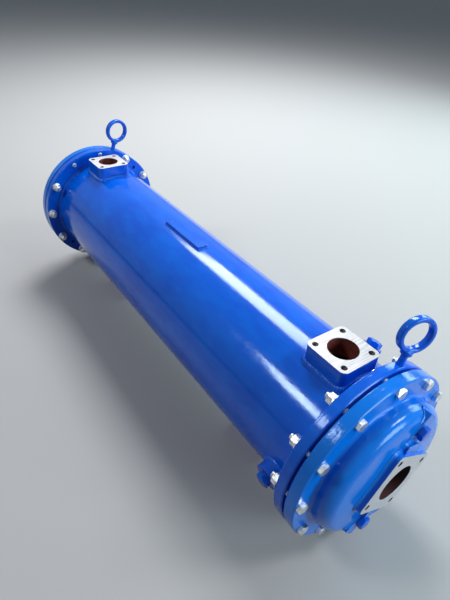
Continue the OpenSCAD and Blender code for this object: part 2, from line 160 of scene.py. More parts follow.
# Weld beads: legs, ripples and how rough they are, and the legs of the casting fillets
GIRTH_LEG = 6 * MM
GIRTH_RIPPLE = 3.4 * MM
NOZZLE_LEG = 6.5 * MM
NOZZLE_RIPPLE = 3.6 * MM
NOZZLE_ROUGH = 0.13
BOSS_LEG = 4.5 * MM
PLATE_LEG = 2.6 * MM
PLATE_RIPPLE = 2.2 * MM
FOOT_PAD_LEG = 4.5 * MM
FOOT_WEB_LEG = 4 * MM
WELD_ROUND = 0.7
PORT_FILLET = 5 * MM
LAND_FILLET = 4 * MM
PAD_FILLET = 3 * MM
FILLET_HOLLOW = -0.55
BEAD_ARC = 6
BEAD_LAG = 1.6
DRIFT_SPAN = 9


# Small geometry helpers
def middle(node):
    low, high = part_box(node)
    return (low + high) / 2


def radial_frame(x, turn, height=0.0):
    """A frame on the shell's axis at x whose Z leans from the top towards +Y by turn degrees."""
    t = math.radians(turn)
    out = Vector((0, math.sin(t), math.cos(t)))
    side = Vector((0, math.cos(t), -math.sin(t)))
    m = Matrix((Vector((1, 0, 0)), side, out)).transposed().to_4x4()
    m.translation = Vector((x, 0, AXIS_Z)) + out * height
    return m


def mirrored(end):
    """Keeps the near end as it is and mirrors it in X for the far end."""
    return Matrix.Diagonal((end, 1, 1, 1))


def along_x(x, turn, radius, facing):
    """A frame on the circle of that radius whose Z points along +X or -X."""
    base = radial_frame(x, turn)
    z = Vector((facing, 0, 0))
    y = (base.to_3x3() @ Vector((0, 0, 1))).normalized()
    m = Matrix((y.cross(z), y, z)).transposed().to_4x4()
    m.translation = base @ Vector((0, 0, radius))
    return m


def seat_frame(side):
    """A frame on a bonnet plug's seat whose Z points outwards along X: 0 is the vent, 180 the drain."""
    return radial_frame(PAD_X, VENT_TURN + side, VENT_R) @ Matrix.Rotation(math.pi / 2, 4, "Y")


class Shape:
    """Vertices and faces gathered for one piece."""

    def __init__(self):
        self.verts = []
        self.faces = []

    def skin(self, rings, place=Matrix.Identity(4), loop=False, caps=True):
        """Joins rings of points, each a closed ring with the same count."""
        start = len(self.verts)
        count = len(rings[0])
        for ring in rings:
            self.verts.extend(place @ Vector(p) for p in ring)
        spans = len(rings) if loop else len(rings) - 1
        for j in range(spans):
            a = start + j * count
            b = start + (j + 1) % len(rings) * count
            for i in range(count):
                k = (i + 1) % count
                self.faces.append((a + i, a + k, b + k, b + i))
        if caps and not loop:
            self.faces.append(tuple(start + i for i in reversed(range(count))))
            self.faces.append(tuple(start + spans * count + i for i in range(count)))

    def piece(self, name, material, slot, sharp=35.0):
        """Makes the object and lets it ride on the frame."""
        mesh = bpy.data.meshes.new(name)
        mesh.from_pydata([tuple(v) for v in self.verts], [], self.faces)
        work = bmesh.new()
        work.from_mesh(mesh)
        bmesh.ops.remove_doubles(work, verts=work.verts, dist=1e-6)
        bmesh.ops.recalc_face_normals(work, faces=work.faces)
        work.to_mesh(mesh)
        work.free()
        mesh.shade_smooth()
        mesh.set_sharp_from_angle(angle=math.radians(sharp))
        mesh.materials.append(material)
        obj = bpy.data.objects.new(name, mesh)
        bpy.context.scene.collection.objects.link(obj)
        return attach(obj, "root")


def circle(radius, z, count=48):
    return [(radius * math.cos(a), radius * math.sin(a), z)
            for a in (2 * math.pi * i / count for i in range(count))]


# A hexagon's chamfer starts on a circle of this share of its flats and falls by 30 degrees
CHAMFER_SHARE = 0.475
CHAMFER_SLOPE = math.tan(math.radians(30))
WASHER_FACE_SHARE = 0.47


def hex_ring(flats, low, high=None, count=48):
    """A hexagon's outline; where high is given, its corners drop as a chamfer leaves them."""
    ring = []
    for i in range(count):
        a = 2 * math.pi * i / count
        r = flats / 2 / math.cos((a + math.pi / 6) % (math.pi / 3) - math.pi / 6)
        drop = (r - CHAMFER_SHARE * flats) * CHAMFER_SLOPE
        z = low if high is None else low + math.copysign(drop, high - low)
        ring.append((r * math.cos(a), r * math.sin(a), z))
    return ring


def hex_rings(flats, bottom, top, washer_face=0.0, both=False):
    """The rings of a hexagon head: a washer face or a chamfer below, a chamfer on top."""
    rings = []
    if washer_face:
        face_r = WASHER_FACE_SHARE * flats
        rings += [circle(face_r, bottom), circle(face_r, bottom + washer_face)]
        rings.append(hex_ring(flats, bottom + washer_face))
    elif both:
        rings += [circle(CHAMFER_SHARE * flats, bottom), hex_ring(flats, bottom, top)]
    else:
        rings.append(hex_ring(flats, bottom))
    rings += [hex_ring(flats, top, bottom), circle(CHAMFER_SHARE * flats, top)]
    return rings


def thread_rings(crest, pitch, bottom, top, count=24):
    """A V thread as a cylinder whose radius follows the helix; its depth fades at both ends."""
    depth = 0.61 * pitch
    steps = max(4, int(4 * (top - bottom) / pitch))
    rings = []
    for j in range(steps + 1):
        z = bottom + (top - bottom) * j / steps
        fade = min(1.0, min(j, steps - j) / 2)
        ring = []
        for i in range(count):
            a = 2 * math.pi * i / count
            wave = abs(((z / pitch - i / count) % 1) * 2 - 1)
            r = crest - depth * (1 - fade * wave)
            ring.append((r * math.cos(a), r * math.sin(a), z))
        rings.append(ring)
    return rings


def rounded_outline(side_x, side_y, corner, per_corner=8, per_side=12):
    """Points and outward directions round a rectangle with rounded corners."""
    spots = []
    for quarter in range(4):
        mid = math.radians(90 * quarter)
        sx = 1 if quarter in (0, 3) else -1
        sy = 1 if quarter in (0, 1) else -1
        cx = sx * (side_x / 2 - corner)
        cy = sy * (side_y / 2 - corner)
        for i in range(per_corner + 1):
            a = mid + math.pi / 2 * i / per_corner
            n = Vector((math.cos(a), math.sin(a), 0))
            spots.append((Vector((cx, cy, 0)) + n * corner, n))
        straight = (side_x if quarter % 2 == 0 else side_y) - 2 * corner
        step = Vector((-math.sin(mid + math.pi / 2), math.cos(mid + math.pi / 2), 0))
        last, n = spots[-1]
        for i in range(1, per_side):
            spots.append((last + step * straight * i / per_side, n))
    return spots


def round_spots(radius, count=72):
    """Points and outward directions round a circle."""
    turns = (2 * math.pi * i / count for i in range(count))
    ways = [Vector((math.cos(a), math.sin(a), 0)) for a in turns]
    return [(way * radius, way) for way in ways]


def resample(points, step):
    """Evenly spaced points along a closed line, with the sums of its lengths."""
    marks = [0.0]
    count = len(points)
    for i in range(count):
        marks.append(marks[-1] + (points[(i + 1) % count][0] - points[i][0]).length)
    total = marks[-1]
    amount = max(8, int(total / step))
    out = []
    j = 0
    for i in range(amount):
        s = total * i / amount
        while marks[j + 1] < s:
            j += 1
        f = (s - marks[j]) / max(marks[j + 1] - marks[j], 1e-9)
        a, b = points[j], points[(j + 1) % count]
        out.append((s, [p.lerp(q, f) for p, q in zip(a, b)]))
    return total, out


def bead(shape, path, leg, ripple=2.4 * MM, convex=0.5, rough=0.07, sink=0.4 * MM):
    """A weld bead, or a plain fillet where rough is 0, along a closed corner line.

    path has (corner, away along one surface, away along the other) at each point."""
    total, marks = resample(path, ripple / 4 if rough else leg * 0.6)
    waves = max(1, round(total / ripple))
    drift = [random.uniform(-1, 1) for _ in range(len(marks) // DRIFT_SPAN + 2)]
    rings = []
    for number, (s, (corner, out, up)) in enumerate(marks):
        span, share = number // DRIFT_SPAN, (number % DRIFT_SPAN) / DRIFT_SPAN
        slow = drift[span] + (drift[span + 1] - drift[span]) * share
        if span + 1 == len(drift) - 1:
            slow *= 1 - share
        ring = []
        for k in range(BEAD_ARC + 1):
            a = math.pi / 2 * k / BEAD_ARC
            chord = 1 / (math.cos(a) + math.sin(a))
            r = chord + (1 - chord) * convex
            phase = 2 * math.pi * waves * s / total - BEAD_LAG * math.sin(2 * a)
            size = leg * (1 + rough * math.sin(phase) + 0.6 * rough * slow)
            along_out = size * r * math.cos(a) - (sink if k == BEAD_ARC else 0)
            along_up = size * r * math.sin(a) - (sink if k == 0 else 0)
            ring.append(corner + out * along_out + up * along_up)
        ring.append(corner - (out + up) * sink)
        rings.append(ring)
    shape.skin(rings, loop=True)


def around_shell(place, spots):
    """A corner line where upright walls meet the shell, from the walls' outline across the frame's Z."""
    path = []
    turned = place.to_3x3()
    for point, n in spots:
        lift = math.sqrt(SHELL_R ** 2 - point.y ** 2)
        corner = place @ Vector((point.x, point.y, lift))
        up = (turned @ Vector((0, 0, 1))).normalized()
        radial = Vector((0, corner.y, corner.z - AXIS_Z)).normalized()
        wall = (turned @ n).normalized()
        out = (wall - radial * wall.dot(radial)).normalized()
        path.append((corner, out, up))
    return path


# Materials
SEEN_RAYS = ("Is Camera Ray", "Is Glossy Ray", "Is Transmission Ray")


class Finish:
    """One procedural material, with short ways to add nodes."""

    def __init__(self, name):
        self.mat = bpy.data.materials.new(name)
        self.mat.use_nodes = True
        self.tree = self.mat.node_tree
        self.tree.nodes.clear()
        out = self.add("ShaderNodeOutputMaterial")
        self.shader = self.add("ShaderNodeBsdfPrincipled")
        self.tree.links.new(self.shader.outputs[0], out.inputs["Surface"])
        self.place = self.add("ShaderNodeTexCoord").outputs["Object"]
        split = self.add("ShaderNodeSeparateXYZ")
        self.tree.links.new(self.place, split.inputs[0])
        self.x, self.y, self.z = split.outputs[:3]

    def add(self, kind, **settings):
        node = self.tree.nodes.new(kind)
        for key, value in settings.items():
            setattr(node, key, value)
        return node

    def feed(self, socket, value):
        if isinstance(value, bpy.types.NodeSocket):
            self.tree.links.new(value, socket)
        elif isinstance(value, tuple) and len(value) == 3 and socket.type == "RGBA":
            socket.default_value = (*value, 1)
        else:
            socket.default_value = value

    def math(self, operation, *values):
        node = self.add("ShaderNodeMath", operation=operation)
        for socket, value in zip(node.inputs, values):
            self.feed(socket, value)
        return node.outputs[0]

    def plus(self, a, b):
        return self.math("ADD", a, b)

    def minus(self, a, b):
        return self.math("SUBTRACT", a, b)

    def times(self, a, b):
        return self.math("MULTIPLY", a, b)

    def most(self, a, b):
        return self.math("MAXIMUM", a, b)

    def size(self, a):
        return self.math("ABSOLUTE", a)

    def length(self, a, b):
        return self.math("SQRT", self.plus(self.times(a, a), self.times(b, b)))

    def step(self, value, low, high):
        """0 up to low, 1 from high on, and smooth between them."""
        node = self.add("ShaderNodeMapRange", interpolation_type="SMOOTHSTEP")
        for socket, v in zip(node.inputs, (value, low, high, 0.0, 1.0)):
            self.feed(socket, v)
        return node.outputs[0]

    def within(self, value, limit, soft):
        """1 up to limit and 0 from limit + soft on."""
        return self.step(value, limit + soft, limit)

    def noise(self, scale, detail=2.0, stretch=None, roughness=0.5):
        node = self.add("ShaderNodeTexNoise")
        where = self.place
        if stretch:
            scaled = self.add("ShaderNodeVectorMath", operation="MULTIPLY")
            self.tree.links.new(where, scaled.inputs[0])
            scaled.inputs[1].default_value = stretch
            where = scaled.outputs[0]
        self.tree.links.new(where, node.inputs["Vector"])
        node.inputs["Scale"].default_value = scale
        node.inputs["Detail"].default_value = detail
        node.inputs["Roughness"].default_value = roughness
        return node.outputs[0]

    def patches(self, scale, detail, low, high, stretch=None):
        """Soft patches: noise that is cut off below low and above high."""
        return self.step(self.noise(scale, detail, stretch), low, high)

    def mix(self, factor, a, b):
        node = self.add("ShaderNodeMix", data_type="RGBA")
        self.feed(node.inputs[0], factor)
        self.feed(node.inputs[6], a)
        self.feed(node.inputs[7], b)
        return node.outputs[2]

    def blend(self, factor, a, b):
        node = self.add("ShaderNodeMix", data_type="FLOAT")
        for socket, v in zip((node.inputs[0], node.inputs[2], node.inputs[3]), (factor, a, b)):
            self.feed(socket, v)
        return node.outputs[0]

    def set(self, **values):
        for key, value in values.items():
            self.feed(self.shader.inputs[key.replace("_", " ")], value)

    def bump(self, height, distance, edge=0.0):
        """Bump over a softly rounded edge."""
        node = self.add("ShaderNodeBump")
        node.inputs["Distance"].default_value = distance
        self.tree.links.new(height, node.inputs["Height"])
        if edge:
            bevel = self.add("ShaderNodeBevel", samples=6)
            bevel.inputs["Radius"].default_value = edge
            self.tree.links.new(bevel.outputs[0], node.inputs["Normal"])
        self.tree.links.new(node.outputs[0], self.shader.inputs["Normal"])


# Colours as linear red, green and blue
ENAMEL = (0.0006, 0.102, 0.64)
ENAMEL_DEEP = (0.0005, 0.052, 0.49)
ENAMEL_CAST = (0.0006, 0.165, 0.70)
ENAMEL_CAST_DEEP = (0.0005, 0.100, 0.55)
ENAMEL_CLOUD = (0.001, 0.17, 0.76)
ENAMEL_SPECK = (0.10, 0.32, 0.85)
SHEEN_TINT = (0.60, 0.80, 1.0)
OXIDE = (0.17, 0.030, 0.018)
OXIDE_DARK = (0.060, 0.012, 0.009)
OXIDE_DEEP = (0.022, 0.008, 0.007)
# Painted shade: near black, put inside the tapped holes
HOLE_PAINTED_SHADE = (0.06, 0.055, 0.055)
BARE = (0.62, 0.60, 0.62)
BARE_DULL = (0.44, 0.42, 0.44)
BARE_STAIN = (0.55, 0.38, 0.36)

# Shares and roughness of the enamel's layers
DEEP_SHARE = 0.45
CLOUD_SHARE = 0.22
SPECK_SHARE = 0.35
STAIN_SHARE = 0.4
ENAMEL_ROUGH = (0.10, 0.17)
ENAMEL_SPECULAR = 0.42
BARE_ROUGH = 0.42
BARE_METALLIC = 0.30
PRIMER_ROUGH = 0.72
SHELL_GRAIN = 0.16 * MM
CAST_GRAIN = 0.35 * MM
SHELL_EDGE = 1.2 * MM
FITTING_EDGE = 0.8 * MM
CAST_EDGE = 1.8 * MM
RIM_IN = FLANGE_R - 14 * MM
RIM_SOFT = 4 * MM


def enamel_colour(f, cast):
    """Brushed blue with broad deeper patches, light clouds and fine specks."""
    light, deep = (ENAMEL_CAST, ENAMEL_CAST_DEEP) if cast else (ENAMEL, ENAMEL_DEEP)
    colour = f.mix(f.times(f.patches(9, 3, 0.35, 0.7), DEEP_SHARE), light, deep)
    colour = f.mix(f.times(f.patches(55, 2, 0.42, 0.66, (0.35, 1, 1)), CLOUD_SHARE), colour, ENAMEL_CLOUD)
    return f.mix(f.times(f.patches(900, 1, 0.74, 0.80), SPECK_SHARE), colour, ENAMEL_SPECK)


def enamel_height(f, cast, turned):
    """Orange peel, brush marks and slow waves, and turned lines on a flange's rim where turned."""
    peel = f.times(f.noise(300 if cast else 210, 2), 0.7 if cast else 0.4)
    brush = f.times(f.noise(120, 3, (0.12, 1, 1)), 0.5)
    waves = f.times(f.noise(22, 2), 1.1 if cast else 0.5)
    height = f.plus(f.plus(peel, brush), waves)
    if turned:
        radius = f.length(f.y, f.minus(f.z, AXIS_Z))
        on_rim = f.step(radius, RIM_IN, RIM_IN + RIM_SOFT)
        lines = f.times(f.noise(230, 3, (1, 0.05, 0.05), 0.6), on_rim)
        height = f.plus(height, f.times(lines, 1.2 if cast else 2.6))
    return height


def bare_steel(f, lines):
    """Machined steel with tool lines and a few rusty stains."""
    steel = f.mix(f.step(lines, 0.35, 0.7), BARE, BARE_DULL)
    return f.mix(f.times(f.patches(40, 3, 0.55, 0.75), STAIN_SHARE), steel, BARE_STAIN)


def oxide_primer(f, cast):
    light, dark = (OXIDE_DARK, OXIDE_DEEP) if cast else (OXIDE, OXIDE_DARK)
    return f.mix(f.patches(70, 3, 0.35, 0.7), light, dark)


def enamel(name, cast=False, masks=None, edge=SHELL_EDGE, turned=False):
    """Thick brushed enamel. masks(f) may give (bare metal, primer, tapped hole) masks, each 0 to 1; the
    tapped holes get a painted shade.
    """
    f = Finish(name)
    colour = enamel_colour(f, cast)
    height = enamel_height(f, cast, turned)
    rough = f.blend(f.patches(130, 3, 0.3, 0.75), *ENAMEL_ROUGH)
    metal = 0.0
    if masks:
        bare, primer, hole = masks(f)
        lines = f.noise(500, 2, (0.08, 1, 1) if cast else (1, 0.06, 1))
        colour = f.mix(bare, colour, bare_steel(f, lines))
        colour = f.mix(primer, colour, oxide_primer(f, cast))
        # The tapped holes take a near-black painted shade
        colour = f.mix(hole, colour, HOLE_PAINTED_SHADE)
        rough = f.blend(bare, rough, BARE_ROUGH)
        rough = f.blend(primer, rough, PRIMER_ROUGH)
        metal = f.blend(bare, 0.0, BARE_METALLIC)
        height = f.blend(bare, height, f.times(lines, 0.3))
    f.set(Base_Color=colour, Roughness=rough, Metallic=metal,
          Specular_IOR_Level=ENAMEL_SPECULAR, Specular_Tint=SHEEN_TINT)
    f.bump(height, CAST_GRAIN if cast else SHELL_GRAIN, edge)
    return f.mat


def machined_face(f, u, v, height, face, side, bore_r, holes):
    """Masks of a square machined face: bare metal, the bore, the tapped holes and all that lies deeper.

    u and v run across the face from its middle, and height runs along the bore."""
    wobble = f.times(f.noise(160, 3), 1.6 * MM)
    rim = f.plus(f.most(f.size(u), f.size(v)), wobble)
    on_face = f.step(height, face - 0.5 * MM, face - 0.2 * MM)
    bare = f.times(f.within(rim, side / 2 + 0.4 * MM, 0.5 * MM), on_face)
    bore = f.within(f.length(u, v), bore_r + 0.3 * MM, 0.5 * MM)
    hole_u = f.minus(f.size(u), holes / 2)
    hole_v = f.minus(f.size(v), holes / 2)
    hole = f.within(f.length(hole_u, hole_v), TAP_R + 0.1 * MM, 0.3 * MM)
    return bare, bore, hole, f.minus(1.0, on_face)


def nozzle_masks(node):
    mid_x = middle(node).x

    def masks(f):
        bare, bore, hole, deeper = machined_face(
            f, f.minus(f.x, mid_x), f.y, f.z, NOZZLE_FACE_Z, NOZZLE_SIDE, NOZZLE_BORE_R, NOZZLE_HOLES)
        return bare, f.times(bore, deeper), hole
    return masks


def port_masks(end):
    """Masks of the port's face, with primer on its bore and on the bonnet's lining."""
    cos_turn = math.cos(math.radians(PORT_TURN))
    sin_turn = math.sin(math.radians(PORT_TURN))

    def masks(f):
        x = f.times(f.x, float(end))
        up = f.minus(f.z, AXIS_Z)
        u = f.minus(f.times(f.y, cos_turn), f.times(up, sin_turn))
        v = f.plus(f.times(f.y, sin_turn), f.times(up, cos_turn))
        bare, bore, hole, deeper = machined_face(f, u, v, x, PORT_FACE_X, PORT_SIDE, PORT_BORE_R, PORT_HOLES)
        rho = f.length(u, v)
        sag = f.times(f.times(rho, rho), 0.5 / CROWN_R)
        under_crown = f.within(f.plus(x, sag), CROWN_X - LINING_SKIN, 1 * MM)
        lining = f.times(under_crown, f.within(rho, LINING_R, 1 * MM))
        in_tap = f.step(x, PORT_FACE_X - PORT_TAP - 1 * MM, PORT_FACE_X - PORT_TAP)
        return bare, f.times(f.most(bore, lining), deeper), f.times(hole, in_tap)
    return masks


def plain_metal(name, light, dark, rough, metallic, scale, stretch=None):
    """One colour with darker patches and a fine grain."""
    f = Finish(name)
    fine = f.noise(scale * 6, 2, stretch)
    f.set(Base_Color=f.mix(f.patches(scale, 3, 0.35, 0.7, stretch), light, dark), Metallic=metallic,
          Roughness=f.blend(f.step(fine, 0.3, 0.7), rough, rough + 0.15))
    f.bump(fine, 0.15 * MM)
    return f.mat


paint = enamel("enamel_shell")
paint_fittings = enamel("enamel_fittings", edge=FITTING_EDGE)
paint_turned = enamel("enamel_flange", turned=True)
zinc = plain_metal("zinc_plate", (0.86, 0.87, 0.88), (0.55, 0.55, 0.53), 0.26, 1.0, 120)
gasket = plain_metal("gasket_fibre", (0.05, 0.05, 0.052), (0.03, 0.03, 0.03), 0.75, 0.0, 300)
sheet_brass = plain_metal("tube_sheet_brass", (0.45, 0.30, 0.13), (0.20, 0.12, 0.06), 0.4, 0.9, 60)
tube_brass = plain_metal("tube_brass", (0.50, 0.33, 0.15), (0.22, 0.13, 0.07), 0.36, 0.9, 80, (0.1, 1, 1))
inner_steel = plain_metal("inner_steel", (0.26, 0.25, 0.24), (0.12, 0.10, 0.09), 0.5, 0.9, 70)
thread_steel = plain_metal("cut_thread", (0.16, 0.15, 0.15), (0.07, 0.06, 0.06), 0.4, 0.9, 200)
seal_metal = plain_metal("seal_ring", (0.03, 0.10, 0.40), (0.02, 0.06, 0.3), 0.35, 0.0, 150)


def dress(node, material):
    obj = nodes[node]
    obj.data.materials.clear()
    obj.data.materials.append(material)


def dress_nodes():
    by_slot = {"shell_paint": paint, "fitting_paint": paint_fittings, "gasket_fibre": gasket,
               "tube_sheet_metal": sheet_brass, "tube_metal": tube_brass, "inner_steel": inner_steel}
    for sub in frame["record"]["subparts"]:
        if sub["material_slot"] in by_slot:
            dress(sub["node"], by_slot[sub["material_slot"]])
    for end_name, end in ENDS.items():
        nozzle = f"nozzle_{end_name}"
        dress(f"shell_flange_{end_name}", paint_turned)
        dress(nozzle, enamel(f"enamel_{nozzle}", masks=nozzle_masks(nozzle)))
        cast_paint = enamel(f"enamel_bonnet_{end_name}", True, port_masks(end), CAST_EDGE, True)
        dress(f"bonnet_{end_name}", cast_paint)


dress_nodes()


# Bolts and nuts of the flanged joints
def washer(shape, place):
    inner = BOLT_D / 2
    profile = [(inner, 0), (WASHER_R, 0), (WASHER_R, WASHER_T - WASHER_SOFT),
               (WASHER_R - WASHER_SOFT, WASHER_T), (inner, WASHER_T)]
    shape.skin([circle(r, z, 32) for r, z in profile], place, loop=True)


def flange_bolts(end_name, end):
    """Hexagon bolts with their heads on the bonnet flange, and nuts on washers on the shell flange.

    The bolts of WITHOUT_NUT, beside the nozzle, are screwed into the shell flange."""
    bolts, nuts = Shape(), Shape()
    flip = mirrored(end)
    gap = FLANGE_FRONT_X - BONNET_FACE_X
    reach = FLANGE_BACK_X - BONNET_FACE_X
    for k in range(BOLT_COUNT):
        turn = BOLT_TURN + 360 / BOLT_COUNT * k
        spin = Matrix.Rotation(random.uniform(0, math.pi / 3), 4, "Z")
        head = flip @ along_x(BONNET_FACE_X, turn, BOLT_R, 1) @ spin
        bolts.skin(hex_rings(BOLT_FLATS, 0, BOLT_HEAD, washer_face=HEAD_WASHER_FACE), head)
        bare = k in WITHOUT_NUT[end_name]
        end_z = reach - (BARE_STUB if bare else WASHER_T + NUT_H + BOLT_STUB)
        bolts.skin(thread_rings(BOLT_D / 2, BOLT_PITCH, end_z + 1 * MM, gap + THREAD_INTO), head)
        point_r = BOLT_D / 2 - POINT_IN
        bolts.skin([circle(point_r, end_z, 24), circle(point_r + 0.3 * MM, end_z + POINT_H, 24)], head)
        if bare:
            continue
        spin = Matrix.Rotation(random.uniform(0, math.pi / 3), 4, "Z")
        nut = flip @ along_x(FLANGE_BACK_X, turn, BOLT_R, -1) @ spin
        washer(nuts, nut)
        nuts.skin(hex_rings(BOLT_FLATS, WASHER_T, WASHER_T + NUT_H, both=True), nut)
    bolts.piece(f"flange_bolts_{end_name}", zinc, "inner_steel", 30)
    nuts.piece(f"flange_nuts_{end_name}", zinc, "inner_steel", 30)


for end_name, end in ENDS.items():
    flange_bolts(end_name, end)


# Plugs with chamfered heads and sealing rings
def plug(name, place, flats, node):
    head = Shape()
    head.skin(hex_rings(flats, SEAL_H, PLUG_HEAD), place)
    head.skin([circle(PLUG_SHANK_R, -PLUG_SHANK_IN, 32), circle(PLUG_SHANK_R, SEAL_H, 32)], place)
    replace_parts(head.piece(name, paint_fittings, "fitting_paint"), node)
    seal = Shape()
    outer = 0.49 * flats
    profile = [(PLUG_SHANK_R, 0), (outer - SEAL_SOFT, 0), (outer, SEAL_SOFT),
               (outer, SEAL_H - SEAL_SOFT), (outer - SEAL_SOFT, SEAL_H), (PLUG_SHANK_R, SEAL_H)]
    seal.skin([circle(r, z) for r, z in profile], place, loop=True)
    seal.piece(f"{name}_seal", seal_metal, "fitting_paint")


for kind, (turn, boss_d, boss_h) in SHELL_BOSS.items():
    seat = radial_frame(middle(f"{kind}_boss").x, turn, SHELL_R + boss_h)
    plug(f"dressed_{kind}_plug", seat, PLUG_FLATS, f"{kind}_plug")
for end_name, end in ENDS.items():
    for kind, side in (("vent", 0), ("drain", 180)):
        node = f"bonnet_{kind}_plug_{end_name}"
        plug(f"dressed_{node}", mirrored(end) @ seat_frame(side), VENT_FLATS, node)


# Threads in the tapped holes
def tapped_threads():
    shape = Shape()
    corners = [(sx, sy) for sx in (-1, 1) for sy in (-1, 1)]

    def thread(place, depth):
        rings = thread_rings(TAP_R + TAP_OVERLAP, TAP_PITCH, -depth + 1 * MM, -0.6 * MM)
        shape.skin(rings, place, caps=False)

    for end_name, end in ENDS.items():
        mid_x = middle(f"nozzle_{end_name}").x
        for sx, sy in corners:
            across = (mid_x + sx * NOZZLE_HOLES / 2, sy * NOZZLE_HOLES / 2, NOZZLE_FACE_Z)
            thread(Matrix.Translation(across), NOZZLE_TAP)
        face = mirrored(end) @ radial_frame(PORT_FACE_X, PORT_TURN)
        for su, sv in corners:
            place = face @ Matrix.Translation((0, su * PORT_HOLES / 2, sv * PORT_HOLES / 2))
            thread(place @ Matrix.Rotation(math.pi / 2, 4, "Y"), PORT_TAP)
    shape.piece("tapped_threads", thread_steel, "inner_steel", 60)


tapped_threads()


# Weld beads
def girth_weld(end_name, end):
    shape = Shape()
    flip = mirrored(end)
    path = []
    for i in range(180):
        base = radial_frame(FLANGE_BACK_X, 2 * i)
        out = base.to_3x3() @ Vector((0, 0, 1))
        path.append((flip @ (base @ Vector((0, 0, SHELL_R))), Vector((-end, 0, 0)), out))
    bead(shape, path, GIRTH_LEG, GIRTH_RIPPLE)
    shape.piece(f"weld_flange_{end_name}", paint, "shell_paint", 80)


def weld_to_shell(name, place, spots, leg, ripple=2.6 * MM, rough=0.07):
    shape = Shape()
    bead(shape, around_shell(place, spots), leg, ripple, WELD_ROUND, rough)
    shape.piece(name, paint, "shell_paint", 80)


def shell_welds():
    square = rounded_outline(NOZZLE_SIDE, NOZZLE_SIDE, NOZZLE_CORNER)
    for end_name, end in ENDS.items():
        girth_weld(end_name, end)
        place = radial_frame(middle(f"nozzle_{end_name}").x, 0)
        weld_to_shell(f"weld_nozzle_{end_name}", place, square, NOZZLE_LEG, NOZZLE_RIPPLE, NOZZLE_ROUGH)
    for kind, (turn, boss_d, boss_h) in SHELL_BOSS.items():
        place = radial_frame(middle(f"{kind}_boss").x, turn)
        weld_to_shell(f"weld_{kind}_boss", place, round_spots(boss_d / 2), BOSS_LEG)
    low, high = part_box("name_plate_bar")
    outline = rounded_outline(high.x - low.x, high.y - low.y, 0.5 * MM, 4, 40)
    weld_to_shell("weld_name_plate", radial_frame((low.x + high.x) / 2, 0), outline, PLATE_LEG, PLATE_RIPPLE)


shell_welds()


def foot_pad_path(end_name):
    """The pad's edge on the shell, from corner to corner as x and turn from the bottom."""
    low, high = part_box(f"foot_pad_{end_name}")
    half_turn = math.degrees(math.asin(high.y / (SHELL_R + FOOT_PAD_REACH)))
    mid_x = (low.x + high.x) / 2
    half_x = (high.x - low.x) / 2
    corners = [(half_x, -half_turn), (half_x, half_turn), (-half_x, half_turn), (-half_x, -half_turn)]
    path = []
    for number, (x0, t0) in enumerate(corners):
        x1, t1 = corners[(number + 1) % 4]
        for i in range(20):
            f = i / 20
            base = radial_frame(mid_x + x0 + (x1 - x0) * f, 180 + t0 + (t1 - t0) * f)
            turned = base.to_3x3()
            if x0 == x1:
                out = Vector((math.copysign(1, x0), 0, 0))
            else:
                out = turned @ Vector((0, math.copysign(1, t0), 0))
            path.append((base @ Vector((0, 0, SHELL_R)), out, turned @ Vector((0, 0, 1))))
    return path


def foot_web_path(end_name):
    """The cross of web and ribs on the base plate."""
    web_low, web_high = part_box(f"foot_web_{end_name}")
    base_low, base_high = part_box(f"foot_base_{end_name}")
    mid_x = (web_low.x + web_high.x) / 2
    half = FOOT_WEB_T / 2
    reach_x = (web_high.x - web_low.x) / 2
    reach_y = (base_high.y - base_low.y) / 2 - FOOT_EDGE
    cross = [(half, reach_y), (-half, reach_y), (-half, half), (-reach_x, half),
             (-reach_x, -half), (-half, -half), (-half, -reach_y), (half, -reach_y),
             (half, -half), (reach_x, -half), (reach_x, half), (half, half)]
    path = []
    for number, (x0, y0) in enumerate(cross):
        x1, y1 = cross[(number + 1) % len(cross)]
        along = Vector((x1 - x0, y1 - y0, 0))
        out = Vector((along.y, -along.x, 0)).normalized()
        start = Vector((mid_x + x0, y0, base_high.z))
        for i in range(6):
            path.append((start + along * ((i + 0.5) / 6), out, Vector((0, 0, 1))))
    return path


def foot_welds(end_name):
    """Beads round the pad on the shell, and round the web on the base plate."""
    shape = Shape()
    bead(shape, foot_pad_path(end_name), FOOT_PAD_LEG)
    bead(shape, foot_web_path(end_name), FOOT_WEB_LEG)
    shape.piece(f"weld_foot_{end_name}", paint, "shell_paint", 80)


for end_name in ENDS:
    foot_welds(end_name)


# Casting fillets on the bonnets
def bonnet_at(y, z):
    """Height in X of the bonnet's crown and shoulder over a place across the axis."""
    inner = DRUM_R - SHOULDER_R
    reach = math.hypot(y, z)
    crown = CROWN_X - CROWN_R + math.sqrt(CROWN_R ** 2 - reach ** 2)
    if reach <= CROWN_R * inner / (CROWN_R - SHOULDER_R):
        return crown
    mid_x = CROWN_X - CROWN_R + math.sqrt((CROWN_R - SHOULDER_R) ** 2 - inner ** 2)
    return mid_x + math.sqrt(max(0.0, SHOULDER_R ** 2 - (reach - inner) ** 2))


def crown_path(end, turn, spots, lift=0.0, ceiling=math.inf):
    """A corner line where walls rise from the crown, no higher than the ceiling."""
    base = radial_frame(0, turn)
    flip = mirrored(end)
    path = []
    for point, n in spots:
        y, z = point.x, point.y + lift
        corner = flip @ (base @ Vector((min(bonnet_at(y, z), ceiling), y, z)))
        out = (flip.to_3x3() @ (base.to_3x3() @ Vector((0, n.x, n.y)))).normalized()
        path.append((corner, out, Vector((end, 0, 0))))
    return path


